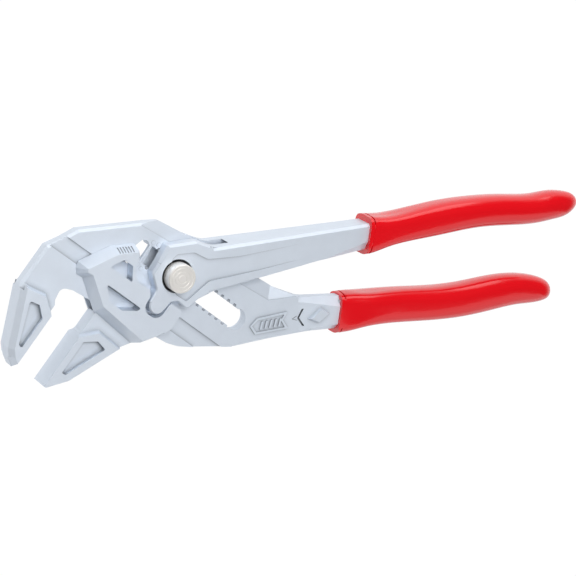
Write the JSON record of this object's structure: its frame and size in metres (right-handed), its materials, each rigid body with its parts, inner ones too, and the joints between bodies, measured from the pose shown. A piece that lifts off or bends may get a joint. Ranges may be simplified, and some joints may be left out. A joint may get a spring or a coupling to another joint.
{
  "type": "pliers wrench",
  "caption": "Adjustable pliers wrench with smooth parallel jaws, a push-button size setting and dipped plastic grips.",
  "frame": {"origin": "centre of the bottom of the bounding box; the tool lies flat on the back of its joint", "axes": "+X runs from the jaws to the handle ends, +Y from the lower handle to the upper handle, +Z along the hinge axis towards the push button"},
  "size_m": [0.2508, 0.0596, 0.0196],
  "materials": {
    "satin_chrome_limb": "satin chrome plate over a shot-blasted chrome vanadium steel forging",
    "satin_chrome_fork": "satin chrome plate over a shot-blasted chrome vanadium steel forging",
    "satin_chrome_jaw": "satin chrome plate over a shot-blasted chrome vanadium steel forging",
    "bolt_steel": "hardened steel, oiled",
    "button_steel": "brushed nickel-plated steel, slightly warm",
    "spring_steel": "bare spring steel",
    "washer_steel": "bare steel",
    "bush_steel": "dark oiled steel",
    "ring_steel": "dark spring steel",
    "red_grip_upper": "glossy dipped soft plastic",
    "red_grip_lower": "glossy dipped soft plastic"
  },
  "bodies": {
    "limb": {"first_limb": "satin_chrome_limb", "lower_grip": "red_grip_lower"},
    "carriage": {"spring_washer": "washer_steel"},
    "handle": {"fork_handle": "satin_chrome_fork", "bearing_bush": "bush_steel", "upper_grip": "red_grip_upper"},
    "jaw": {"sliding_jaw": "satin_chrome_jaw"},
    "bolt": {"hinge_bolt": "bolt_steel", "push_button": "button_steel", "retaining_ring": "ring_steel", "button_spring": "spring_steel"}
  },
  "joints": [
    {"name": "size_adjust", "type": "slide", "parent": "limb", "child": "carriage", "axis": [0.7604, -0.6494, 0], "range_m": [-0.0102, 0.0204]},
    {"name": "handle_pivot", "type": "hinge", "parent": "carriage", "child": "handle", "pos_m": [-0.05921, 0.00834, 0.0078], "axis": [0, 0, 1], "range_deg": [-2, 20]},
    {"name": "jaw_slide", "type": "slide", "parent": "carriage", "child": "jaw", "axis": [0.7604, -0.6494, 0], "range_m": [-0.0006, 0.0048]},
    {"name": "button_press", "type": "slide", "parent": "carriage", "child": "bolt", "axis": [0, 0, -1], "range_m": [0, 0.0025], "stiffness_N_per_m": 2000, "springref_m": -0.002, "deforming": ["button_spring"]}
  ],
  "couplings": [
    {"joint": "jaw_slide", "follows": "handle_pivot", "m_per_rad": 0.01315}
  ]
}
